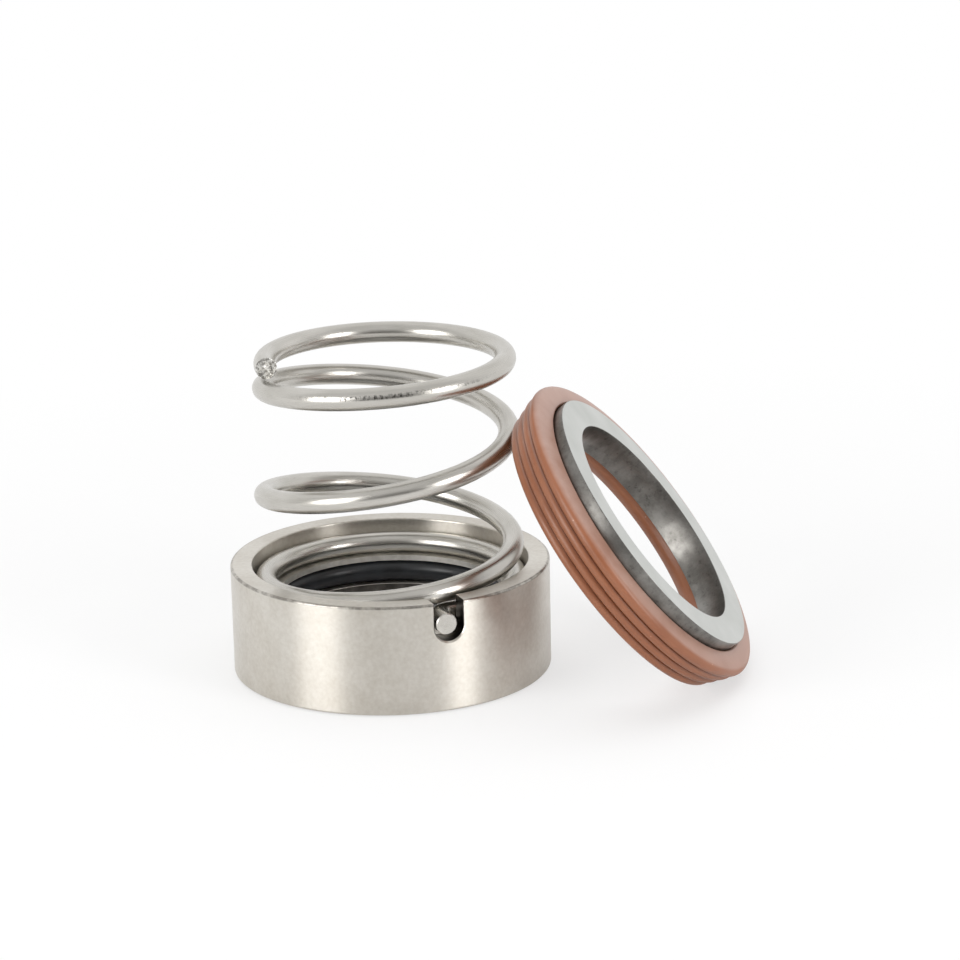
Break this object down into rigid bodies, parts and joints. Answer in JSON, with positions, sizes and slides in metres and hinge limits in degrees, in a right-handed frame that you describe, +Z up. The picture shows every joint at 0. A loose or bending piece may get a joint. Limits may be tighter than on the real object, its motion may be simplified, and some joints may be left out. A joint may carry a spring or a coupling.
{
  "type": "mechanical seal",
  "caption": "Single-spring mechanical shaft seal: a rotary unit with a coil spring standing in a slotted steel ring, and a seat ring in a ribbed rubber boot leaning against it.",
  "frame": {"origin": "centre of the rotary face's running surface, on the shaft axis, where the unit stands on the floor", "axes": "+Z up along the shaft axis towards the spring; +X towards the leaning seat, -Y towards the viewer of the picture"},
  "size_m": [0.0754, 0.0539, 0.0474],
  "materials": {
    "turned_steel": "satin turned",
    "hard_face": "lapped",
    "spring_wire": "bright drawn",
    "seat_metal": "lapped face, darker walls",
    "black_rubber": "smooth",
    "brown_rubber": "satin"
  },
  "bodies": {
    "seal": {"retainer_ring": "turned_steel", "rotary_face": "hard_face", "shaft_o_ring": "black_rubber", "thrust_washer": "turned_steel", "seat_ring": "seat_metal", "seat_boot": "brown_rubber"},
    "spring": {"drive_spring": "spring_wire"}
  },
  "joints": [
    {"name": "spring_compress", "type": "slide", "parent": "seal", "child": "spring", "axis": [0, 0, 1], "range_m": [-0.006, 0], "stiffness_N_per_m": 6500, "deforming": ["drive_spring"]}
  ]
}
